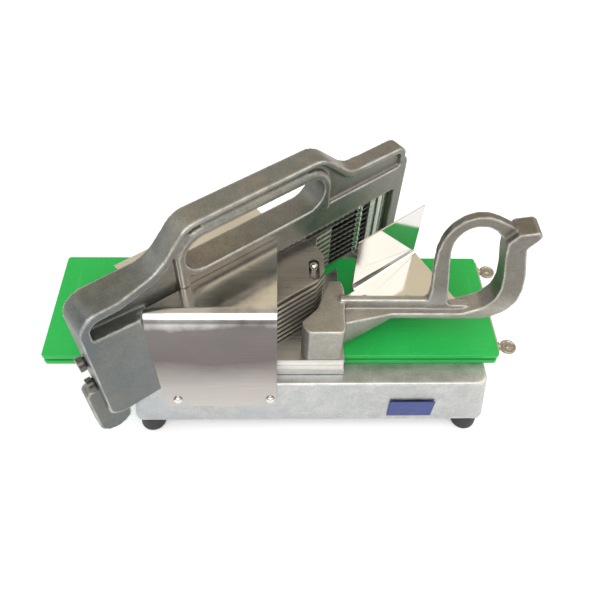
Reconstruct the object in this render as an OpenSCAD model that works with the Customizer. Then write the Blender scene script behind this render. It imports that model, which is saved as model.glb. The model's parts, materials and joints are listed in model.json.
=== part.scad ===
// Countertop vegetable dicer (tomato slicer): a cast base with a long slide board,
// a blade frame that stands diagonally across it, and a hand-pushed sled whose fins
// pass between the blades.
// Working frame: X along the stroke, Y across the board, Z up, with Z = 0 on the
// board's upper face and X = Y = 0 at the board's front left corner. place() shifts
// that to the part's frame, whose origin is on the table under the middle.

/* [Slide board] */
// Length of the slide board along the stroke
board_l = 390; // [386:1:392]
// Width of the slide board
board_w = 112; // [111:0.5:112.4]
// Thickness of the slide board
board_t = 12.7; // [12.2:0.1:12.7]

/* [Blades] */
// Distance from one blade to the next, which is the slice thickness
blade_pitch = 6.35; // [6.3:0.01:6.35]
// Thickness of each blade strip
blade_t = 0.5; // [0.4:0.05:0.6]
// Width of each blade strip, edge to edge
blade_w = 12; // [11:0.5:12.5]
// Length of one serration along the edge
serration = 6; // [5:0.5:8]

/* [Pusher] */
// Thickness of each pusher fin
fin_t = 3.4; // [3:0.1:3.6]
// How far the pusher draws back from the closed position
stroke = 140; // [120:5:140]

/* [Castings] */
// Thickness of the blade frame casting
frame_t = 20; // [19:0.5:20]
// Wall thickness of the base casting
base_wall = 5; // [4:0.5:6]

/* [Feet] */
// Diameter of each rubber foot
foot_d = 23; // [20:1:24]
// Height of each rubber foot under the base
foot_h = 20; // [18:1:22]

/* [Hidden] */

alu = [0.62, 0.62, 0.60];
steel = [0.80, 0.79, 0.77];
green = [0.12, 0.68, 0.30];
black = [0.10, 0.10, 0.10];
blue = [0.10, 0.24, 0.66];

base_z1 = -board_t;          // upper face of the base, on which the board lies
base_z0 = -72;               // lower edge of the base
floor_z = base_z0 - foot_h;  // table
ang = 36.5;                  // the blades' direction in plan
coff = 61.2;                 // distance of the blade plane from the board's corner
n_blades = 10;
n_fins = n_blades - 2;       // the top plate runs in the last gap
blade_z0 = 3;
fin_z0 = blade_z0 + blade_pitch / 2;
sled_t = 2.5;
sled_z = 0.3;
sled_top = sled_z + sled_t;
plate_z = 55.4;
ft = frame_t / 2;

// ---- helpers --------------------------------------------------------------
module place() translate([-204.24, -54.95, -floor_z]) children();

// Blade-frame coordinates: x along the blades, -y towards the pusher side
module in_frame() translate([coff * sin(ang), -coff * cos(ang), 0]) rotate([0, 0, ang]) children();
// Profile drawn in (along, height), filling pusher-side offsets a to b
module slab(a, b) translate([0, -a, 0]) rotate([90, 0, 0]) linear_extrude(b - a) children();
// Profile drawn in (X, Z), filling Y from a to b
module ywall(a, b) translate([0, b, 0]) rotate([90, 0, 0]) linear_extrude(b - a) children();
module at_frame(s, off, z) in_frame() translate([s, -off, z]) children();
// Plan position of a point at (along, offset)
function fxy(s, off) = [cos(ang) * s + sin(ang) * (coff + off), sin(ang) * s - cos(ang) * (coff + off)];

function unit(v) = v / norm(v);
function turn(a) = ((a + 540) % 360) - 180;
function corner(p, q, n, r, k) =
    let(a = unit(p - q), b = unit(n - q), h = acos(a * b) / 2,
        c = q + unit(a + b) * (r / sin(h)), s = q + a * (r / tan(h)), e = q + b * (r / tan(h)),
        a0 = atan2(s.y - c.y, s.x - c.x), da = turn(atan2(e.y - c.y, e.x - c.x) - a0))
    [for (i = [0:k]) c + r * [cos(a0 + da * i / k), sin(a0 + da * i / k)]];
// Polygon with rounded corners from [x, y, radius] entries
function rounded(v, k = 6) = let(m = len(v)) [for (i = [0:m - 1])
    let(p = v[(i + m - 1) % m], q = v[i], n = v[(i + 1) % m])
    each (q[2] > 0 ? corner([p.x, p.y], [q.x, q.y], [n.x, n.y], q[2], k) : [[q.x, q.y]])];

module rrect(x0, y0, x1, y1, r) polygon(rounded([[x0, y0, r], [x1, y0, r], [x1, y1, r], [x0, y1, r]]));
module slot2d(x0, x1, z, r) {
    translate([x0 + r, z]) circle(r, $fn = 48);
    translate([x1 - r, z]) circle(r, $fn = 48);
    translate([x0 + r, z - r]) square([x1 - x0 - 2 * r, 2 * r]);
}
module pan_head(d, h) rotate_extrude($fn = 32) polygon([[0, 0], [d / 2, 0], [d / 2, h * 0.35],
    [d * 0.42, h * 0.7], [d * 0.26, h * 0.95], [0, h]]);
module hex_head(w, h) cylinder(d = w / cos(30), h = h, $fn = 6);

// ---- base -----------------------------------------------------------------
// Footprints of the base at its upper face and at its lower edge
top_box = [77, -20.5, 379.5, 118.4];
low_box = [69, -23.6, 389.5, 121.5];
feet = [[83, -13], [376, -13], [83, 108], [376, 108]];
screw_ys = [13, 99.5];        // thumb screws
screw_z = -6.35;

module drafted(in, z0, z1, r) hull() for (e = [[top_box, base_z1], [low_box, base_z0]])
    let(b = e[0], t = (e[1] - base_z0) / (base_z1 - base_z0))
    for (cx = [b[0] + in + r, b[2] - in - r], cy = [b[1] + in + r, b[3] - in - r])
        translate([cx, cy, e[1] == base_z1 ? z1 : z0]) cylinder(r = r, h = 0.01, center = false, $fn = 24);

left_post = [24, 69.2];
module left_pocket() in_frame() {
    slab(-10.1, 10.1) translate([10, -26.1]) square([59.3, 60]);
    slab(-10.1, 18.1) translate([10, -15.1]) square([66.3, 60]);
    slab(-10.1, 2.1) polygon(rounded([[8, 20, 0], [46.1, 20, 0], [46.1, -62.1, 16], [13.9, -62.1, 16], [8, -50, 0]]));
}
module right_pocket() in_frame() slab(-10.1, 10.1) translate([277.9, -50.1]) square([82, 90]);

module base_casting() color(alu) place() difference() {
    union() {
        difference() {
            drafted(0, base_z0, base_z1 - 0.01, 9);
            translate([0, 0, -0.01]) drafted(base_wall, base_z0 - 0.01, base_z1 - base_wall, 6);
        }
        intersection() {
            drafted(0.5, base_z0 + 4, base_z1 - 1, 9);
            union() {
                in_frame() slab(-17, 22) translate([30, -68]) square([53, 60]);
                in_frame() slab(-15, 22) translate([272, -56]) square([40, 50]);
                for (p = feet) translate([p.x, p.y, base_z0])
                    cylinder(d = 20, h = 50, $fn = 32);
            }
        }
    }
    left_pocket();
    right_pocket();
    // holes for the foot screws
    for (p = feet) translate([p.x, p.y, base_z0 - 1])
        cylinder(d = 5, h = 26, $fn = 32);
    // holes for the frame bolts
    at_frame(56, -19, -19) rotate([-90, 0, 0]) translate([0, 0, -14]) cylinder(d = 6.2, h = 30, $fn = 32);
    at_frame(290, 16, -32) rotate([90, 0, 0]) translate([0, 0, -10]) cylinder(d = 6.2, h = 16, $fn = 32);
    for (p = guard_screw_pts) translate([p.x, -30, p.y]) rotate([-90, 0, 0]) cylinder(d = 4.1, h = 20, $fn = 32);
}

module rubber_feet() color(black) place() for (p = feet)
    translate([p.x, p.y, floor_z]) difference() {
        rotate_extrude($fn = 40) polygon(concat([[0, 0]],
            [for (a = [-90:18:0]) [foot_d / 2 - 4 + 4 * cos(a), 4 + 4 * sin(a)]],
            [[foot_d / 2 - 1.2, foot_h], [0, foot_h]]));
        translate([0, 0, -1]) cylinder(d = 11, h = 9, $fn = 32);
        cylinder(d = 5, h = foot_h + 1, $fn = 32);
    }

module foot_screws() color(steel) place() for (p = feet)
    translate([p.x, p.y, floor_z + 5]) {
        cylinder(d = 9, h = 3, $fn = 32);
        translate([0, 0, 3]) cylinder(d = 5, h = foot_h + 12, $fn = 32);
    }

// Both long edges are grooved for the sled's lip, so the board can be turned over
module slide_board() color(green) place() difference() {
    translate([0, 0, -board_t]) linear_extrude(board_t) rrect(0, 0, board_l, board_w, 3);
    for (y = [-1, board_w - 4]) translate([-1, y, -8.2]) cube([board_l + 2, 5, 3.2]);
    for (y = screw_ys) translate([366, y, screw_z]) rotate([0, 90, 0]) cylinder(d = 5.1, h = 30, $fn = 32);
}

// Strip across the board's end, held by the two thumb screws
module board_end_strip() color(steel) place() difference() {
    translate([board_l, 5, -12.2]) cube([1.2, board_w - 10, 11.6]);
    for (y = screw_ys) translate([board_l - 1, y, screw_z]) rotate([0, 90, 0]) cylinder(d = 5.1, h = 5, $fn = 32);
}

// Screw with a flat round head whose face is dished round a centre boss
module thumb_screw(y) color(steel) place() translate([0, y, screw_z]) {
    translate([368, 0, 0]) rotate([0, 90, 0]) cylinder(d = 5, h = 25, $fn = 32);
    translate([board_l + 1.4, 0, 0]) rotate([0, 90, 0]) cylinder(d = 9.4, h = 1.4, $fn = 32);
    translate([board_l + 2.6, 0, 0]) rotate([0, 90, 0]) cylinder(d = 6, h = 1.8, $fn = 32);
    translate([board_l + 4, -2.7, -1.2]) cube([2.6, 5.4, 2.4]);
    translate([401.33, 0, 0]) rotate_extrude($fn = 48) polygon([[0, -1.6], [1.6, -1.6], [2.4, -0.7],
        [5.1, -0.7], [5.7, -1.4], [6.7, -1.4], [7.15, -0.9], [7.15, 0.9], [6.7, 1.4], [5.7, 1.4],
        [5.1, 0.7], [2.4, 0.7], [1.6, 1.6], [0, 1.6]]);
}
module thumb_screw_front() thumb_screw(screw_ys[0]);
module thumb_screw_rear() thumb_screw(screw_ys[1]);

// ---- blade frame ----------------------------------------------------------
outline = [[24, -26, 8], [24, 112, 18], [90, 112, 30], [117, 141, 20], [240, 141, 28],
    [272, 112, 22], [296, 111.5, 0], [334, 110.5, 9], [334, 99, 1.5], [337, 96, 1.5], [337, -50, 5],
    [278, -50, 4], [278, -13.5, 0], [300, -13.5, 0], [300, 0, 0], [69, 0, 0], [69, -26, 8]];
// Recessed web inside the ribs: the lower edge runs along the post's ledge, then the right post's top
web = [[32, 86.4, 2], [32, 104, 9], [93, 104, 26], [119, 136.5, 14], [238, 136.5, 18], [268, 107, 16],
    [296, 106.2, 0], [328, 105.4, 5], [328, 91, 3], [247.6, 91, 0], [200, 91, 0], [110, 76, 0], [76.4, 76, 2], [76.4, 82.5, 0]];
module web_area() difference() {
    polygon(rounded(web));
    slot2d(104.6, 247.4, 110.5, 23.4);
    translate([104.6, 50]) square([142.8, 60.5]);
}
// Cuts, in plan, that thin the right half of the frame above its post
module thin_right(y0, y1) translate([0, 0, 92.5]) linear_extrude(60)
    polygon([[250, y0], [276, y1], [345, y1], [345, y0 * 1.6], [250, y0 * 1.6]]);

module blade_frame() color(alu) place() difference() {
    union() {
        in_frame() {
            slab(-ft, ft) polygon(rounded(outline));
            // thick foot of the left post, and the lobe behind it
            slab(0, 18) polygon(rounded([[24, -15, 12], [24, 87, 3], [76, 82.4, 1], [76, -15, 3]]));
            slab(-10, 3) polygon(rounded([[13, 9, 6], [42, 9, 0], [42, -57.5, 14.4], [13, -57.5, 14.4]], 10));
            // the ribs of the left post stand further out than the rest of the front face
            intersection() {
                slab(0, 18) polygon(rounded(outline));
                translate([0, 0, 80]) linear_extrude(80) polygon([[20, 0], [20, -18], [56, -18], [80, -12.6], [104, -10], [104, 0]]);
            }
            // raised rim round the hand slot, with a leg at each end on the front
            slab(-ft - 1.6, ft + 1.6) difference() {
                slot2d(106.2, 245.8, 110.5, 21.8);
                translate([100, 60]) square([160, 31.5]);
                translate([100, 134]) square([160, 20]);
            }
            slab(0, ft + 1.6) for (x = [106.2, 239.8]) translate([x, x < 200 ? 83.7 : 88]) square([6, 27]);
        }
    }
    in_frame() {
        // hand slot
        slab(-ft - 5, ft + 5) slot2d(112, 240, 110.5, 16);
        // recessed webs on both faces
        slab(5.8, 30) web_area();
        slab(-30, -5.8) web_area();
        thin_right(-ft - 0.01, -9);
        thin_right(ft + 0.01, 6.6);
        // window, and the pockets that hold the blade anchors
        slab(-ft - 5, 7.5) polygon(rounded([[66.5, -0.2, 0], [66.5, 67, 3], [299.5, 67, 3], [299.5, -0.2, 0]]));
        slab(7.4, 30) polygon(rounded([[76.3, -0.2, 0], [76.3, 67, 3], [299.5, 67, 3], [299.5, -0.2, 0]]));
        slab(-7, 7.5) translate([55, 0.6]) square([12, 64.4]);
        slab(-7, ft + 5) translate([299, 0.6]) square([26.5, 65]);
        // blade tension bolts
        for (z = [47, 17]) translate([12, 0, z]) rotate([0, 90, 0]) cylinder(d = 6.2, h = 46, $fn = 32);
        // room for the front guard's roof over the post's foot
        slab(10.05, 30) translate([67, 82.1]) square([15, 10]);
    }
    // room for the front guard's panel
    translate([gx0 - 0.2, -60, -50]) cube([30, 60 + gy + 1.1, 150]);
    translate([gx0 - 0.2, 0, 0]) rotate([90, 0, 90]) linear_extrude(30) polygon(concat(
        [for (a = [180:-7.5:90]) [gy + gr + (gr - 1.15) * cos(a), gz - gr + (gr - 1.15) * sin(a)]], [[gy + gr, gz + 1], [gy + 1, gz + 1]]));
    // holes for the exit hood's screws
    in_frame() for (x = [92, 184]) translate([x, 1.5, 75.5]) rotate([-90, 0, 0]) cylinder(d = 4, h = 20, $fn = 32);
    // bolts into the base
    at_frame(56, -10, -19) rotate([90, 0, 0]) translate([0, 0, -1]) cylinder(d = 6.2, h = 17, $fn = 32);
    at_frame(290, 12, -32) rotate([-90, 0, 0]) cylinder(d = 6.2, h = 30, $fn = 32);
    // way for the slide board and the pusher
    translate([-20, -0.4, -13.2]) cube([440, board_w + 0.8, 13.4]);
    translate([-20, 0.6, -13.2]) cube([440, 111, 75]);
}

module frame_bolts() color(steel) place() {
    at_frame(56, -17.1, -19) rotate([90, 0, 0]) { translate([0, 0, -4]) hex_head(10, 4); cylinder(d = 6, h = 22, $fn = 32); }
    at_frame(290, -10.1, -32) rotate([90, 0, 0]) { translate([0, 0, -4]) hex_head(10, 4); cylinder(d = 6, h = 30, $fn = 32); }
}

module blade_slots(x0, x1) for (i = [0:n_blades - 1])
    translate([x0, -8, blade_z0 + i * blade_pitch - blade_t / 2 - 0.02]) cube([x1 - x0, 16, blade_t + 0.04]);

module blade_anchor_left() color(steel) place() in_frame() difference() {
    translate([55.3, -6.8, 0.9]) cube([10.8, 13.4, 63.8]);
    blade_slots(57, 70);
    translate([61.5, 0, 0]) cylinder(d = 3, h = 70, $fn = 32);
    for (z = [47, 17]) translate([50, 0, z]) rotate([0, 90, 0]) cylinder(d = 6.2, h = 7.2, $fn = 32);
}
module blade_anchor_right() color(steel) place() in_frame() difference() {
    union() {
        translate([301, -6.5, 0.9]) cube([8, 13.2, 63.8]);
        translate([309, -8, 0.9]) cube([5, 14.7, 63.8]);
        translate([314, -4.5, 0.9]) cube([11, 11.2, 63.8]);
    }
    blade_slots(296, 306.5);
    translate([304.3, 0, 0]) cylinder(d = 3, h = 70, $fn = 32);
    translate([317, -6, -1]) cube([2.2, 3, 70]);
}
module anchor_pin_left() color(steel) place() in_frame() translate([61.5, 0, 1.2]) cylinder(d = 3, h = 63, $fn = 32);
module anchor_pin_right() color(steel) place() in_frame() translate([304.3, 0, 1.2]) cylinder(d = 3, h = 63, $fn = 32);

// One strip with a scalloped cutting edge on the pusher side
module blade(x0, x1, hx) difference() {
    linear_extrude(blade_t) polygon(concat([[x0, blade_w / 2], [x0, -blade_w / 2 + 1]],
        [[68, -blade_w / 2 + 1]],
        [for (x = [68:serration:298 - serration], k = [0, 1]) k == 0 ? [x + serration * 0.5, -blade_w / 2] : [x + serration, -blade_w / 2 + 1]],
        [[x1, -blade_w / 2 + 1], [x1, blade_w / 2]]));
    for (h = hx) translate([h, 0, -1]) cylinder(d = 3.04, h = 3, $fn = 32);
    translate([sp_s, -2, -1]) cylinder(d = 3.04, h = 3, $fn = 32);
}
// Column of spacers that keeps the blades apart just short of the right anchor
sp_s = 291.5;
module blade_spacers() color(steel) place() in_frame() for (i = [0:n_blades - 2])
    translate([sp_s, -2, blade_z0 + i * blade_pitch + blade_t / 2]) difference() {
        rotate_extrude($fn = 32) polygon([[0, 0], [3, 0], [3.9, 1.2], [3.9, blade_pitch - blade_t - 1.2], [3, blade_pitch - blade_t], [0, blade_pitch - blade_t]]);
        translate([0, 0, -1]) cylinder(d = 3.04, h = 10, $fn = 32);
    }
module blade_spacer_pin() color(steel) place() in_frame() translate([sp_s, -2, 0]) {
    translate([0, 0, 1.4]) cylinder(d = 3, h = 60.4, $fn = 32);
    translate([0, 0, 1.4]) cylinder(d = 6, h = 1.3, $fn = 32);
    translate([0, 0, 60.45]) cylinder(d = 6, h = 1.3, $fn = 32);
}
module slicing_blades() color(steel) place() in_frame() for (i = [0:n_blades - 1])
    translate([0, 0, blade_z0 + i * blade_pitch - blade_t / 2]) blade(57.4, 306.2, [61.5, 304.3]);

module tension_bolts() color(steel) place() in_frame() for (z = [47, 17]) {
    translate([17.5, 0, z]) rotate([0, 90, 0]) cylinder(d = 12, h = 5, $fn = 32);
    translate([22.5, 0, z]) rotate([0, 90, 0]) cylinder(d = 9, h = 1.4, $fn = 32);
    translate([22, 0, z]) rotate([0, 90, 0]) cylinder(d = 6, h = 34.9, $fn = 32);
}

// ---- guards over the blade ends -------------------------------------------
// Roof plane: from a bend at Y = -22 up to the frame's face. The sheet is 1 mm.
gx0 = 101;
gx1 = 198;
gy = -23.2;    // outer face of the front panel
gz = 83.5;     // upper face of the roof
gr = 12;       // outer radius of the bend between them
// (Y, Z) section of the sheet: up the front, round the bend and back over the blades
module sheet_section() polygon(concat([[gy, -45]],
    [for (a = [180:-7.5:90]) [gy + gr + gr * cos(a), gz - gr + gr * sin(a)]],
    [[74, gz], [74, gz - 1]],
    [for (a = [90:7.5:180]) [gy + gr + (gr - 1) * cos(a), gz - gr + (gr - 1) * sin(a)]],
    [[gy + 1, -45]]));
module ywall_x(x0, x1) translate([x0, 0, 0]) rotate([90, 0, 90]) linear_extrude(x1 - x0) sheet_section();

guard_screw_pts = [[113, -33], [192.5, -33]];
module front_guard() color(steel) place() difference() {
    intersection() {
        ywall_x(gx0, gx1);
        ywall(gy - 10, 120) polygon(rounded([[gx0, 130, 0], [gx0, -45, 4], [gx1, -45, 4], [gx1, 130, 0]]));
    }
    // the roof ends at the frame's pusher-side face
    in_frame() translate([-50, -10.2, -120]) cube([460, 200, 300]);
    for (p = guard_screw_pts) translate([p.x, -30, p.y]) rotate([-90, 0, 0]) cylinder(d = 4, h = 12, $fn = 32);
}
module front_guard_screws() color(steel) place() for (p = guard_screw_pts)
    translate([p.x, gy, p.y]) { rotate([90, 0, 0]) pan_head(8, 3); translate([0, -0.1, 0]) rotate([-90, 0, 0]) cylinder(d = 4, h = 12, $fn = 32); }

// Hood over the exit side: a flange on the frame's rear face, a roof and a turned-down lip
module rear_guard() color(steel) place() in_frame() difference() {
    union() {
        translate([76, 10.1, 69]) cube([124, 1.2, 14.5]);
        translate([76, 10.1, 82.3]) cube([124, 30, 1.2]);
        translate([76, 38.9, 75]) cube([124, 1.2, 8.5]);
    }
    for (x = [92, 184]) translate([x, 0, 75.5]) rotate([-90, 0, 0]) cylinder(d = 4, h = 20, $fn = 32);
}
module rear_guard_screws() color(steel) place() in_frame() for (x = [92, 184])
    translate([x, 11.3, 75.5]) { rotate([-90, 0, 0]) pan_head(7, 2.6); translate([0, 0.1, 0]) rotate([90, 0, 0]) cylinder(d = 4, h = 9.4, $fn = 32); }
module label_plate() color(blue) place() translate([298, -24.1, -63]) cube([40, 0.9, 25]);

// ---- pusher ---------------------------------------------------------------
tie = [[228.5, 51], [226, 68], [206, 30], [178, 9], [150, 9]];
head = [[88, 2.4, 1], [186, 2.4, 4], [230.5, 34.7, 5], [237, 45, 6], [237, 64, 8], [226, 79, 6], [208, 92.8, 3]];
module head_plan(in = 0) polygon(rounded(head));

// The fins reach on between the blades past the plate's corner
fin_plan = [[88, 2.4, 1], [186, 2.4, 4], [230.5, 34.7, 5], [237, 45, 6], [237, 64, 8], [231, 76, 0],
    concat(fxy(240, 6.5), [0]), concat(fxy(258, 5.5), [2]), concat(fxy(260, -10.8), [1])];
module pusher_fins() color(alu) place() difference() {
    for (i = [0:n_fins - 1]) translate([0, 0, fin_z0 + i * blade_pitch - fin_t / 2]) linear_extrude(fin_t) polygon(rounded(fin_plan));
    for (p = tie) translate([p.x, p.y, -1]) cylinder(d = 5, h = 70, $fn = 32);
}
module spacer(d, h) difference() { cylinder(d = d, h = h, $fn = 32); translate([0, 0, -1]) cylinder(d = 5, h = h + 2, $fn = 32); }
module fin_spacers() color(steel) place() for (k = [0:4]) translate([tie[k].x, tie[k].y, 0]) {
    translate([0, 0, sled_top]) spacer(9, fin_z0 - fin_t / 2 - sled_top);
    for (i = [0:n_fins - 2]) translate([0, 0, fin_z0 + i * blade_pitch + fin_t / 2]) spacer(9, blade_pitch - fin_t);
    if (k > 0) translate([0, 0, top_fin]) spacer(9, plate_z - top_fin);
}
top_fin = fin_z0 + (n_fins - 1) * blade_pitch + fin_t / 2;
module fin_tie_bolts() color(steel) place() for (k = [0:4]) translate([tie[k].x, tie[k].y, sled_z + 0.4])
    cylinder(d = 5, h = (k == 0 ? top_fin : plate_z + 3) - sled_z - 0.4, $fn = 32);
// The first tie bolt ends in a domed nut, which stands in a slot in the top plate
module top_stud() color(steel) place() translate([tie[0].x, tie[0].y, top_fin]) {
    hex_head(7, 5);
    translate([0, 0, 5]) rotate_extrude($fn = 32) polygon([[0, 0], [3.6, 0], [3.2, 1.6], [2, 2.8], [0, 3.2]]);
}
module pusher_top_plate() color(steel) place() difference() {
    translate([0, 0, plate_z]) linear_extrude(3) difference() {
        head_plan();
        translate([tie[0].x, 46.5]) rotate(90) slot2d(-11, 11, 0, 4.3);
    }
    for (k = [1:4]) translate([tie[k].x, tie[k].y, plate_z - 1]) cylinder(d = 5, h = 7, $fn = 32);
}

module pusher_sled() color(steel) place() difference() {
    union() {
        translate([60, -6.5, sled_z]) cube([195, board_w + 13, sled_t]);
        // guide on the board's front edge: web, foot and the lip that rides in the groove
        translate([60, -6.5, -5]) cube([195, 5.8, 5 + sled_top]);
        translate([60, -11, -12.2]) cube([195, 10.3, 7.3]);
        translate([60, -2, -7.9]) cube([195, 5.5, 2.6]);
    }
    // left edge, parallel to the blades
    in_frame() translate([-60, -12.8, -30]) cube([500, 200, 60]);
    translate([100, 110, -30]) cube([300, 20, 60]);
    for (p = tie) translate([p.x, p.y, -1]) cylinder(d = 5, h = 7, $fn = 32);
    for (p = screws) translate([p.x, p.y, -1]) cylinder(d = 5, h = 7, $fn = 32);
}
screws = [[244, 40], [229, 6], [246, 6]];

block = [[219, -1.5, 3], [224.5, -5.8, 2], [252.5, -5.8, 4], [254.5, 37, 3], [252.5, 47.5, 3], [241, 47.5, 3],
    [236.5, 33, 4], [231, 19, 8], [218, 5.5, 4]];
grip_o = [[250, 28, 0], [372, 27.5, 14], [387, 38, 12], [393, 52, 14], [393, 66, 20], [389.5, 85, 30], [384.5, 101, 20],
    [381, 113.5, 4], [386.5, 121.5, 3], [388.5, 127, 2.5], [384.5, 130, 2], [371, 127.5, 3], [365, 118.5, 4],
    [367.5, 102, 30], [372.5, 82, 20], [375, 66, 14], [374, 54, 12], [367, 42, 12], [352, 34.5, 8], [250, 34.5, 0]];
ring_o = [[322, 30, 0], [322.5, 58, 10], [319, 86, 30], [318, 104, 20], [319.5, 117, 15], [323.8, 127.5, 12],
    [330.5, 135, 12], [339, 139.3, 12], [348, 139.3, 12], [356, 136.3, 12], [366, 131, 10], [379, 121, 0], [379, 50, 0], [370, 30, 0]];
ring_i = [[340, 38, 6], [336, 60, 20], [330, 92, 30], [328, 106, 15], [328.5, 115, 15], [331, 122, 10], [336, 127.8, 10],
    [342.5, 130.4, 10], [349.5, 129.6, 10], [356, 126, 10], [361, 120.5, 6], [369.5, 110, 4], [374, 88, 10], [377, 66, 8],
    [376, 52, 8], [366, 38, 8]];

module pusher_casting() color(alu) place() difference() {
    union() {
        translate([0, 0, sled_top]) linear_extrude(42 - sled_top) polygon(rounded(block));
        // arm: an upright web on a wider flange
        ywall(25, 31) polygon([[250, 28], [335, 28], [335, 44.5], [250, 44.5]]);
        // ring and grip
        ywall(24.5, 32) difference() { polygon(rounded(ring_o)); polygon(rounded(ring_i)); }
        ywall(18.5, 37.5) polygon(rounded(grip_o));
        // gusset from the block to the arm
        intersection() {
            translate([0, 0, sled_top]) linear_extrude(40) polygon([[250, 8], [294, 18.6], [294, 37.4], [250, 40]]);
            ywall(0, 60) polygon([[250, sled_top], [256, sled_top], [294, 28], [294, 34.4], [250, 34.4]]);
        }
    }
    for (p = screws) translate([p.x, p.y, -1]) cylinder(d = 5, h = 16, $fn = 32);
    for (x = [272, 308]) translate([x, 34.4, 29.4]) cylinder(d = 4, h = 8, $fn = 32);
}
module casting_screws() color(steel) place() for (p = screws) translate([p.x, p.y, sled_z + 0.3]) cylinder(d = 5, h = 14, $fn = 32);

// Knuckle guard: a flange on the arm's rear ledge and an upright parallel to the blades
kb0 = [262, 45];
kb1 = [321, 88.6];
kz = 34.5;
kr = 3.2;      // inner radius of the bend
module knuckle_line() translate([kb0.x, kb0.y, kz]) rotate([0, 0, atan2(kb1.y - kb0.y, kb1.x - kb0.x)]) children();
module knuckle_guard() color(steel) place() difference() {
    union() {
        difference() {
            translate([0, 0, kz]) linear_extrude(1.2) polygon([kb0, kb1, [349, 33.4], [317, 33.4], [317, 31.3], [256, 31.3], [256, 40.6]]);
            knuckle_line() translate([-30, -kr, -1]) cube([140, 40, 4]);
        }
        knuckle_line() rotate([90, 0, 90]) linear_extrude(norm(kb1 - kb0)) polygon(concat(
            [[-kr - 0.1, 0]], [for (a = [-90:10:0]) [-kr + (kr + 1.2) * cos(a), (kr + 1.2) * (1 + sin(a))]], [[1.2, 57], [0, 57]],
            [for (a = [0:-10:-90]) [-kr + kr * cos(a), kr + 1.2 + kr * sin(a)]], [[-kr - 0.1, 1.2]]));
    }
    for (x = [272, 308]) translate([x, 34.4, kz - 1]) cylinder(d = 4, h = 4, $fn = 32);
}
module knuckle_guard_screws() color(steel) place() for (x = [272, 308])
    translate([x, 34.4, kz + 1.2]) { pan_head(6, 2.2); translate([0, 0, -6]) cylinder(d = 4, h = 6.1, $fn = 32); }

base_casting();
rubber_feet();
foot_screws();
slide_board();
board_end_strip();
blade_frame();
frame_bolts();
blade_anchor_left();
blade_anchor_right();
anchor_pin_left();
anchor_pin_right();
slicing_blades();
blade_spacers();
blade_spacer_pin();
tension_bolts();
front_guard();
front_guard_screws();
rear_guard();
rear_guard_screws();
label_plate();
pusher_sled();
pusher_fins();
fin_spacers();
fin_tie_bolts();
pusher_top_plate();
top_stud();
pusher_casting();
casting_screws();
knuckle_guard();
knuckle_guard_screws();
thumb_screw_front();
thumb_screw_rear();
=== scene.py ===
import json
import math

import bmesh
import bpy
from mathutils import Matrix, Vector

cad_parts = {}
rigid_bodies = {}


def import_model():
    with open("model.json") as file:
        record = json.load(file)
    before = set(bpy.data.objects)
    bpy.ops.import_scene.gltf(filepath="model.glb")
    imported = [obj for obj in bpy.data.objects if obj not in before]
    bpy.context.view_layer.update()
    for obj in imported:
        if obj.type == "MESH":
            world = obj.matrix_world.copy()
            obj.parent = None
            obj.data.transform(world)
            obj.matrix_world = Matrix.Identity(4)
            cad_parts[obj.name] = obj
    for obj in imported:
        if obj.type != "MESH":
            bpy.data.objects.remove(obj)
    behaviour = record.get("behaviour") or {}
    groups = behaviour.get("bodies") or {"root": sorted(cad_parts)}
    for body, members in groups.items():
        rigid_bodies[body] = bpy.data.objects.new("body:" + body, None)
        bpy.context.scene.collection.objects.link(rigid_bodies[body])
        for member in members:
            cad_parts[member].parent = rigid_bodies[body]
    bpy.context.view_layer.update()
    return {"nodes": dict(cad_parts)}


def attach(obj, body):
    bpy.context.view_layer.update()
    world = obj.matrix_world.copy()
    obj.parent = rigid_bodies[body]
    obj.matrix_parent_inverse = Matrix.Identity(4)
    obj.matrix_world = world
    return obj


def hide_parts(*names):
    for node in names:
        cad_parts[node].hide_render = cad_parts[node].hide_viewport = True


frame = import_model()
nodes = frame["nodes"]
scene = bpy.context.scene
scene.view_settings.view_transform = "Standard"
scene.view_settings.look = "None"

# The board's front left corner (X = Y = 0, Z = 0 on its upper face) in the part's frame, mm
OX, OY, OZ = -204.24, -54.95, 92.0
ANG = math.radians(36.5)
COFF = 61.2


def P(x, y, z):
    """Board coordinates in mm to the part's frame in metres."""
    return Vector(((x + OX) / 1000, (y + OY) / 1000, (z + OZ) / 1000))


def F(s, off, z):
    """Blade-frame coordinates (along, offset to the pusher side, height) in mm to metres."""
    return P(math.cos(ANG) * s + math.sin(ANG) * (COFF + off), math.sin(ANG) * s - math.cos(ANG) * (COFF + off), z)


# ---------------------------------------------------------------- camera
def make_camera():
    th, ps, ro = math.radians(51.53), math.radians(3.13), math.radians(-2.57)
    fw = Vector((math.sin(ps) * math.cos(th), math.cos(ps) * math.cos(th), -math.sin(th)))
    right = Vector((math.cos(ps), -math.sin(ps), 0))
    down = fw.cross(right)
    r = right * math.cos(ro) + down * math.sin(ro)
    d = -right * math.sin(ro) + down * math.cos(ro)
    cam = bpy.data.cameras.new("camera")
    cam.lens = 36.94
    cam.sensor_width = 36
    cam.clip_start = 0.01
    ob = bpy.data.objects.new("camera", cam)
    m = Matrix((r, -d, -fw)).transposed().to_4x4()
    m.translation = P(195.9, -278.9, 434.6)
    ob.matrix_world = m
    scene.collection.objects.link(ob)
    scene.camera = ob


make_camera()


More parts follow.
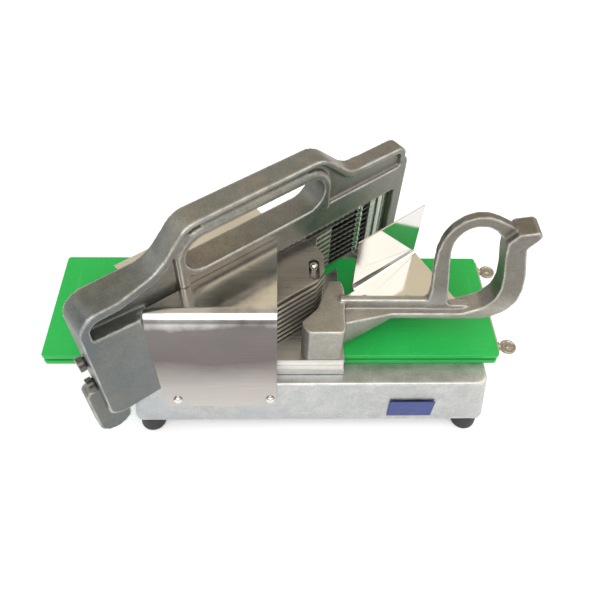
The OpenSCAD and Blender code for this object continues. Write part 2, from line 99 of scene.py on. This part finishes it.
# ---------------------------------------------------------------- materials
class Mat:
    """A node material: a Principled shader and short calls for the nodes that feed it."""

    def __init__(self, name, **sockets):
        self.m = bpy.data.materials.new(name)
        self.m.use_nodes = True
        self.nt = self.m.node_tree
        self.b = self.nt.nodes["Principled BSDF"]
        for k, v in sockets.items():
            self.b.inputs[k.replace("_", " ")].default_value = v
        self.co = self.nt.nodes.new("ShaderNodeTexCoord").outputs["Object"]

    def link(self, a, b):
        self.nt.links.new(a, b)

    def map(self, scale, rot=(0, 0, 0)):
        n = self.nt.nodes.new("ShaderNodeMapping")
        n.inputs["Scale"].default_value = scale
        n.inputs["Rotation"].default_value = rot
        self.link(self.co, n.inputs["Vector"])
        return n.outputs[0]

    def noise(self, scale, detail=4.0, rough=0.55, vec=None, distort=0.0):
        n = self.nt.nodes.new("ShaderNodeTexNoise")
        n.inputs["Scale"].default_value = scale
        n.inputs["Detail"].default_value = detail
        n.inputs["Roughness"].default_value = rough
        n.inputs["Distortion"].default_value = distort
        self.link(vec if vec is not None else self.co, n.inputs["Vector"])
        return n.outputs["Fac"]

    def cells(self, scale, vec=None):
        n = self.nt.nodes.new("ShaderNodeTexVoronoi")
        n.inputs["Scale"].default_value = scale
        self.link(vec if vec is not None else self.co, n.inputs["Vector"])
        return n.outputs["Distance"]

    def ramp(self, fac, stops):
        n = self.nt.nodes.new("ShaderNodeValToRGB")
        el = n.color_ramp.elements
        while len(el) < len(stops):
            el.new(0.5)
        for e, (p, c) in zip(el, stops):
            e.position = p
            e.color = (*c, 1) if len(c) == 3 else c
        self.link(fac, n.inputs["Fac"])
        return n.outputs["Color"]

    def span(self, val, a, b, c, d):
        n = self.nt.nodes.new("ShaderNodeMapRange")
        for i, v in enumerate((a, b, c, d)):
            n.inputs[1 + i].default_value = v
        self.link(val, n.inputs[0])
        return n.outputs[0]

    def math(self, op, a, b):
        n = self.nt.nodes.new("ShaderNodeMath")
        n.operation = op
        for i, v in enumerate((a, b)):
            if isinstance(v, (int, float)):
                n.inputs[i].default_value = v
            else:
                self.link(v, n.inputs[i])
        return n.outputs[0]

    def mix(self, fac, a, b, kind="MIX"):
        n = self.nt.nodes.new("ShaderNodeMix")
        n.data_type = "RGBA"
        n.blend_type = kind
        for sock, v in ((n.inputs[0], fac), (n.inputs[6], a), (n.inputs[7], b)):
            if isinstance(v, (int, float)):
                sock.default_value = v
            elif isinstance(v, tuple):
                sock.default_value = (*v, 1)
            else:
                self.link(v, sock)
        return n.outputs[2]

    def bump(self, height, distance, strength=1.0, normal=None):
        n = self.nt.nodes.new("ShaderNodeBump")
        n.inputs["Strength"].default_value = strength
        n.inputs["Distance"].default_value = distance
        self.link(height, n.inputs["Height"])
        if normal is not None:
            self.link(normal, n.inputs["Normal"])
        return n.outputs[0]

    def pointiness(self):
        return self.nt.nodes.new("ShaderNodeNewGeometry").outputs["Pointiness"]

    def out(self, color=None, rough=None, normal=None):
        for v, k in ((color, "Base Color"), (rough, "Roughness"), (normal, "Normal")):
            if v is not None:
                self.link(v, self.b.inputs[k])
        return self.m


def height(a):
    """A point's height over the table, in metres."""
    n = a.nt.nodes.new("ShaderNodeSeparateXYZ")
    a.link(a.co, n.inputs[0])
    return n.outputs["Z"]


def cast_metal(name, dark, light, edge, metallic, warm=None, fade=None, left_shade=None):
    """Sand-cast, tumbled aluminium: mottled, fine grained, and brighter along its edges, partly rubbed metal and partly
    painted highlight; painted shade darkens its hollows, and can darken it above a given height or towards the left.
    """
    a = Mat(name, Metallic=metallic)
    blot = a.noise(16, 3, 0.5)
    mott = a.noise(85, 6, 0.65)
    grain = a.noise(620, 3, 0.6)
    col = a.ramp(a.math("ADD", a.math("MULTIPLY", blot, 0.4), a.math("MULTIPLY", mott, 0.6)), [(0.36, dark), (0.64, light)])
    if warm is not None:
        # patches of a browner, handled tone
        col = a.mix(a.span(a.noise(11, 4, 0.6), 0.40, 0.60, 0.15, 1.0), col, a.ramp(mott, [(0.36, warm), (0.64, tuple(1.3 * c for c in warm))]))
    if fade is not None:
        # painted shade: the colour is multiplied darker above a given height
        col = a.mix(a.span(height(a), fade[0], fade[1], 0, 1), col, a.mix(1.0, col, fade[2], "MULTIPLY"))
    if left_shade is not None:
        # painted shade: the colour is multiplied darker and bluer towards the left
        sx = a.nt.nodes.new("ShaderNodeSeparateXYZ")
        a.link(a.co, sx.inputs[0])
        col = a.mix(a.span(sx.outputs["X"], left_shade[0], left_shade[1], 0, 1), col, a.mix(1.0, col, left_shade[2], "MULTIPLY"))
    speck = a.ramp(grain, [(0.40, (0.86, 0.86, 0.86)), (0.60, (1, 1, 1))])
    col = a.mix(1.0, col, speck, "MULTIPLY")
    pt = a.pointiness()
    # brighter along convex edges: partly rubbed metal, partly painted highlight
    edge_wear_highlight = a.math("MULTIPLY", a.span(pt, 0.508, 0.56, 0, 1), a.span(a.noise(120, 3), 0.3, 0.6, 0.35, 1))
    col = a.mix(edge_wear_highlight, col, edge)
    # painted shade: the colour is darker in hollows and inner corners
    hollow_shade = a.span(pt, 0.42, 0.495, 0.6, 0)
    col = a.mix(hollow_shade, col, tuple(0.55 * c for c in dark))
    rough = a.math("SUBTRACT", a.span(mott, 0.3, 0.7, 0.36, 0.50), a.math("MULTIPLY", edge_wear_highlight, 0.16))
    n = a.bump(a.noise(190, 4, 0.6), 0.00016)
    n = a.bump(grain, 0.00005, 1.0, n)
    return a.out(col, rough, n)


def brushed_metal(name, dark, light, rough, along, grade=900, depth=0.00002, scratch=0.00001, face=None):
    """Sheet or machined metal with fine lines along one axis (0, 1 or 2) or none (None)."""
    a = Mat(name, Metallic=1.0)
    sc = [1.0, 1.0, 1.0]
    if along is not None:
        sc[along] = 0.02
    lines = a.noise(grade, 4, 0.6, a.map(tuple(sc)))
    smear = a.noise(22, 4, 0.6)
    col = a.ramp(a.math("ADD", a.math("MULTIPLY", lines, 0.55), a.math("MULTIPLY", smear, 0.45)), [(0.36, dark), (0.64, light)])
    r = a.math("ADD", a.span(lines, 0.3, 0.7, rough[0], rough[1]), a.span(smear, 0.35, 0.7, -0.02, 0.05))
    n = a.bump(lines, depth)
    if scratch:
        scr = a.noise(260, 2, 0.5, a.map((1.0, 0.03, 1.0), (0.3, 0.2, 0.7)))
        n = a.bump(a.span(scr, 0.66, 0.7, 0, 1), scratch, 1.0, n)
    if face is not None:
        # painted shade: the broad level faces are coloured darker than the milled edges
        g = a.nt.nodes.new("ShaderNodeNewGeometry")
        sep = a.nt.nodes.new("ShaderNodeSeparateXYZ")
        a.link(g.outputs["True Normal"], sep.inputs[0])
        col = a.mix(a.span(a.math("ABSOLUTE", sep.outputs["Z"], 0.0), 0.6, 0.9, 0, 1), col, face)
    return a.out(col, r, n)


cast_body = cast_metal("cast_body", (0.41, 0.430, 0.450), (0.50, 0.518, 0.53), (0.80, 0.80, 0.79), 0.95, (0.42, 0.43, 0.425))
# painted shade: the frame's left end is coloured darker and bluer
cast_frame = cast_metal("cast_frame", (0.160, 0.172, 0.171), (0.222, 0.232, 0.226), (0.60, 0.60, 0.58), 0.76, (0.210, 0.192, 0.162),
                        left_shade=(-0.070, -0.125, (0.62, 0.70, 0.76)))
# painted shade: the grip is coloured darker from 134 mm up, fully from 155 mm
cast_grip = cast_metal("cast_grip", (0.30, 0.294, 0.275), (0.40, 0.392, 0.368), (0.72, 0.71, 0.68), 0.86,
                       (0.30, 0.285, 0.25), (0.134, 0.155, (0.55, 0.54, 0.53)))
machined = brushed_metal("machined", (0.50, 0.50, 0.49), (0.62, 0.62, 0.61), (0.24, 0.36), 0, 700)
# painted shade: the fins' broad level faces are coloured dark
fin_metal = brushed_metal("fin_metal", (0.50, 0.46, 0.40), (0.68, 0.64, 0.57), (0.36, 0.50), 0, 800, face=(0.17, 0.155, 0.135))
sheet = brushed_metal("sheet", (0.54, 0.53, 0.51), (0.66, 0.65, 0.63), (0.10, 0.17), 0, 1100, 0.000008)
mirror = brushed_metal("mirror", (0.64, 0.64, 0.63), (0.69, 0.69, 0.68), (0.05, 0.08), None, 1300, 0.000001, 0.0)
plate_metal = brushed_metal("plate_metal", (0.42, 0.395, 0.36), (0.55, 0.525, 0.485), (0.26, 0.36), 0, 600)
dark_steel = brushed_metal("dark_steel", (0.09, 0.088, 0.082), (0.17, 0.165, 0.155), (0.26, 0.38), None, 500)
chrome = brushed_metal("chrome", (0.58, 0.57, 0.56), (0.72, 0.71, 0.70), (0.12, 0.22), None, 500)
knob = brushed_metal("knob", (0.26, 0.24, 0.205), (0.42, 0.40, 0.36), (0.22, 0.32), None, 700)


def guard_sheet():
    """Brushed stainless sheet, with painted reflection and shade on the front face from the bend downwards: lighter
    towards the bottom, darker up to the bend.
    """
    a = Mat("guard_sheet", Metallic=1.0)
    lines = a.noise(1100, 4, 0.6, a.map((0.02, 1.0, 1.0)))
    smear = a.noise(22, 4, 0.6)
    col = a.ramp(a.math("ADD", a.math("MULTIPLY", lines, 0.55), a.math("MULTIPLY", smear, 0.45)),
                 [(0.36, (0.56, 0.55, 0.53)), (0.64, (0.68, 0.67, 0.65))])
    # painted reflection and shade: lighter towards the bottom of the front face, darker up to the bend, unchanged on
    # the roof
    z = a.math("ADD", height(a), a.span(smear, 0.3, 0.7, -0.006, 0.006))
    panel_reflection_shade = a.ramp(a.span(z, 0.048, 0.176, 0, 1), [(0.0, (0.78, 0.75, 0.72)), (0.28, (0.62, 0.585, 0.565)),
                                                   (0.55, (0.22, 0.195, 0.195)), (0.90, (0.25, 0.23, 0.24)), (1.0, (1, 1, 1))])
    col = a.mix(1.0, col, panel_reflection_shade, "MULTIPLY")
    r = a.math("ADD", a.span(lines, 0.3, 0.7, 0.10, 0.17), a.span(smear, 0.35, 0.7, -0.02, 0.05))
    return a.out(col, r, a.bump(lines, 0.000008))


def blade_steel():
    """Thin blade strips coloured near black, painted shade, with bright ground teeth along the edge that meets the food
    and a painted highlight on the top blade.
    """
    a = Mat("blade_steel", Metallic=1.0)
    lines = a.noise(900, 4, 0.6, a.map((0.05, 0.05, 1.0)))
    dot = a.nt.nodes.new("ShaderNodeVectorMath")
    dot.operation = "DOT_PRODUCT"
    dot.inputs[1].default_value = (math.sin(ANG), -math.cos(ANG), 0)
    a.link(a.co, dot.inputs[0])
    off0 = F(0, 0, 0).dot(Vector((math.sin(ANG), -math.cos(ANG), 0)))
    tooth = a.span(dot.outputs["Value"], off0 + 0.0040, off0 + 0.0048, 0, 1)
    # painted shade: the blade steel is coloured near black
    col = a.ramp(lines, [(0.36, (0.05, 0.05, 0.048)), (0.64, (0.11, 0.11, 0.105))])
    col = a.mix(tooth, col, (0.38, 0.375, 0.36))
    # painted highlight: the top blade, between 150.5 and 151.2 mm high, is coloured bright
    col = a.mix(a.span(height(a), 0.1505, 0.1512, 0, 1), col, (0.74, 0.73, 0.71))
    rough = a.math("ADD", a.span(lines, 0.3, 0.7, 0.26, 0.36), a.math("MULTIPLY", tooth, 0.22))
    return a.out(col, rough, a.bump(lines, 0.00001))


fin_metal.node_tree.nodes["Principled BSDF"].inputs["Metallic"].default_value = 0.7
guard_metal = guard_sheet()
blade_metal = blade_steel()


def board_green():
    a = Mat("board_green", IOR=1.5, Specular_IOR_Level=0.3)
    fade = a.noise(9, 3)
    fine = a.noise(420, 3, 0.6)
    col = a.ramp(a.math("ADD", a.math("MULTIPLY", fade, 0.6), a.math("MULTIPLY", fine, 0.4)),
                 [(0.34, (0.012, 0.345, 0.060)), (0.66, (0.020, 0.420, 0.084))])
    # scuffs that the sliding pusher leaves along the board, and a few knife marks across it
    slide = a.noise(240, 3, 0.6, a.map((0.03, 1.0, 1.0)))
    knife = a.noise(150, 2, 0.5, a.map((1.0, 0.04, 1.0), (0, 0, 0.5)))
    mark = a.span(knife, 0.67, 0.70, 0, 1)
    col = a.mix(a.math("MULTIPLY", mark, 0.25), col, (0.05, 0.47, 0.13))
    col = a.mix(a.span(slide, 0.60, 0.74, 0, 0.16), col, (0.08, 0.50, 0.17))
    rough = a.math("ADD", a.span(slide, 0.3, 0.7, 0.34, 0.46), a.span(fine, 0.3, 0.7, 0.0, 0.08))
    n = a.bump(fine, 0.00003)
    n = a.bump(a.math("SUBTRACT", a.math("MULTIPLY", slide, 0.3), a.math("MULTIPLY", mark, 0.6)), 0.00003, 1.0, n)
    return a.out(col, rough, n)


def rubber_black():
    a = Mat("rubber_black")
    f = a.noise(380, 4, 0.65)
    col = a.ramp(f, [(0.35, (0.012, 0.012, 0.013)), (0.68, (0.032, 0.032, 0.033))])
    return a.out(col, a.span(f, 0.3, 0.7, 0.55, 0.8), a.bump(f, 0.0001))


def label_blue():
    a = Mat("label_blue", Specular_IOR_Level=0.35)
    f = a.noise(300, 3, 0.6)
    g = a.noise(30, 3, 0.6)
    col = a.ramp(a.math("ADD", a.math("MULTIPLY", f, 0.4), a.math("MULTIPLY", g, 0.6)),
                 [(0.34, (0.010, 0.026, 0.165)), (0.66, (0.016, 0.038, 0.215))])
    return a.out(col, a.span(g, 0.3, 0.7, 0.25, 0.4), a.bump(f, 0.00001))


green = board_green()
black = rubber_black()
blue = label_blue()


# ---------------------------------------------------------------- pieces
BODY = {}
for n, o in nodes.items():
    BODY[n] = o.parent.name if o.parent is not None else None
for n in nodes:
    if n.startswith("thumb_screw"):
        BODY[n] = n
    elif n in ("pusher_sled", "pusher_fins", "fin_spacers", "fin_tie_bolts", "pusher_top_plate", "top_stud",
               "pusher_casting", "casting_screws", "knuckle_guard", "knuckle_guard_screws"):
        BODY[n] = "pusher"
    else:
        BODY[n] = "base"


def welded(node):
    """A new bmesh of a CAD node's surface, its doubled points joined and its flats made whole."""
    me = nodes[node].data
    bm = bmesh.new()
    vs = [bm.verts.new(v.co) for v in me.vertices]
    for p in me.polygons:
        try:
            bm.faces.new([vs[i] for i in p.vertices])
        except ValueError:
            pass
    bmesh.ops.remove_doubles(bm, verts=bm.verts, dist=2e-6)
    bmesh.ops.recalc_face_normals(bm, faces=bm.faces)
    return bm


def piece(node, bm, mat, suffix):
    me = bpy.data.meshes.new(node + suffix)
    bm.to_mesh(me)
    bm.free()
    me.polygons.foreach_set("use_smooth", [True] * len(me.polygons))
    me.materials.append(mat)
    ob = bpy.data.objects.new(node + suffix, me)
    scene.collection.objects.link(ob)
    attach(ob, BODY[node])
    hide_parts(node)
    return ob


def casting(node, mat, voxel, smooth):
    """A casting: the CAD surface remeshed and relaxed, so every edge and inner corner is rounded."""
    bm = welded(node)
    ob = piece(node, bm, mat, "_cast")
    r = ob.modifiers.new("remesh", "REMESH")
    r.mode = "VOXEL"
    r.voxel_size = voxel / 1000
    r.use_smooth_shade = True
    s = ob.modifiers.new("relax", "SMOOTH")
    s.factor = 0.5
    s.iterations = smooth
    bpy.context.view_layer.update()
    dg = bpy.context.evaluated_depsgraph_get()
    me = bpy.data.meshes.new_from_object(ob.evaluated_get(dg), preserve_all_data_layers=True, depsgraph=dg)
    ob.modifiers.clear()
    me.materials.clear()
    me.materials.append(mat)
    ob.data = me
    me.polygons.foreach_set("use_smooth", [True] * len(me.polygons))
    return ob


def edged(node, mat, width, segments=2, angle=32.0):
    """A part with its sharp edges broken by a small bevel."""
    bm = welded(node)
    bmesh.ops.dissolve_limit(bm, angle_limit=math.radians(0.4), use_dissolve_boundaries=False,
                             verts=bm.verts, edges=bm.edges, delimit={"NORMAL"})
    sharp = [e for e in bm.edges if len(e.link_faces) == 2 and e.calc_face_angle(0) > math.radians(angle)]
    bmesh.ops.bevel(bm, geom=sharp, offset=width / 1000, offset_type="OFFSET", segments=segments, profile=0.5,
                    affect="EDGES", clamp_overlap=False)
    ob = piece(node, bm, mat, "_part")
    ob.data.set_sharp_from_angle(angle=math.radians(40))
    w = ob.modifiers.new("normals", "WEIGHTED_NORMAL")
    w.keep_sharp = True
    return ob


casting("base_casting", cast_body, 1.25, 7)
casting("blade_frame", cast_frame, 1.05, 6)
casting("pusher_casting", cast_grip, 0.95, 6)

edged("slide_board", green, 0.8, 3)
edged("front_guard", guard_metal, 0.22)
edged("rear_guard", sheet, 0.22)
edged("knuckle_guard", mirror, 0.25)
edged("board_end_strip", sheet, 0.22)
edged("blade_anchor_left", machined, 0.3)
edged("blade_anchor_right", machined, 0.3)
edged("pusher_fins", fin_metal, 0.3)
edged("pusher_top_plate", plate_metal, 0.35)
edged("pusher_sled", machined, 0.4)
edged("label_plate", blue, 0.25)
edged("rubber_feet", black, 0.5, 2)
edged("thumb_screw_front", knob, 0.25)
edged("thumb_screw_rear", knob, 0.25)
for n in ("front_guard_screws", "rear_guard_screws", "knuckle_guard_screws", "casting_screws", "top_stud",
          "frame_bolts"):
    edged(n, chrome, 0.2)
edged("tension_bolts", dark_steel, 0.35)

FINISH = {"slicing_blades": blade_metal, "fin_tie_bolts": plate_metal}
for n, o in nodes.items():
    o.data.materials.clear()
    o.data.materials.append(FINISH.get(n, chrome))

# ---------------------------------------------------------------- stage
me = bpy.data.meshes.new("floor")
me.from_pydata([(-6, -6, 0), (6, -6, 0), (6, 6, 0), (-6, 6, 0)], [], [(0, 1, 2, 3)])
floor = bpy.data.objects.new("floor", me)
scene.collection.objects.link(floor)
fl = Mat("floor", Base_Color=(0.86, 0.89, 0.95, 1), Roughness=0.85, Emission_Color=(1, 1, 1, 1), Emission_Strength=0.20)
me.materials.append(fl.m)

# Soft, even studio light: a pale surround, a little dimmer and warmer overhead and to the right
w = bpy.data.worlds.new("world")
scene.world = w
w.use_nodes = True
nt = w.node_tree
bg = nt.nodes["Background"]
tc = nt.nodes.new("ShaderNodeTexCoord")
sp = nt.nodes.new("ShaderNodeSeparateXYZ")
nt.links.new(tc.outputs["Generated"], sp.inputs[0])
up = nt.nodes.new("ShaderNodeValToRGB")
while len(up.color_ramp.elements) < 5:
    up.color_ramp.elements.new(0.5)
for e, (p, c) in zip(up.color_ramp.elements, [(0.0, (0.66, 0.68, 0.71)), (0.3, (0.56, 0.56, 0.56)), (0.6, (0.93, 0.82, 0.61)),
                                              (0.82, (0.90, 0.79, 0.60)), (1.0, (0.70, 0.64, 0.54))]):
    e.position = p
    e.color = (*c, 1)
nt.links.new(sp.outputs["Z"], up.inputs["Fac"])
side = nt.nodes.new("ShaderNodeValToRGB")
for e, (p, c) in zip(side.color_ramp.elements, [(0.15, (1.08, 1.12, 1.18)), (0.85, (0.92, 0.86, 0.78))]):
    e.position = p
    e.color = (*c, 1)
half = nt.nodes.new("ShaderNodeMapRange")
half.inputs[1].default_value = -1
nt.links.new(sp.outputs["X"], half.inputs[0])
nt.links.new(half.outputs[0], side.inputs["Fac"])
mx = nt.nodes.new("ShaderNodeMix")
mx.data_type = "RGBA"
mx.blend_type = "MULTIPLY"
mx.inputs[0].default_value = 1.0
nt.links.new(up.outputs["Color"], mx.inputs[6])
nt.links.new(side.outputs["Color"], mx.inputs[7])
nt.links.new(mx.outputs[2], bg.inputs["Color"])
bg.inputs["Strength"].default_value = 1.0


def area(name, where, to, size, power, color):
    li = bpy.data.lights.new(name, "AREA")
    li.shape = "DISK"
    li.size = size
    li.energy = power
    li.color = color
    ob = bpy.data.objects.new(name, li)
    ob.location = where
    ob.rotation_euler = (Vector(to) - Vector(where)).to_track_quat("-Z", "Y").to_euler()
    scene.collection.objects.link(ob)


area("key", (-1.0, -0.35, 1.25), (0, 0, 0.1), 0.9, 6, (0.96, 0.98, 1.0))
area("fill", (1.12, -0.05, 1.25), (0.05, 0, 0.1), 1.5, 8, (0.97, 0.985, 1.0))
area("top", (0.0, -1.0, 1.35), (0, 0, 0.1), 1.3, 12, (0.98, 0.99, 1.0))
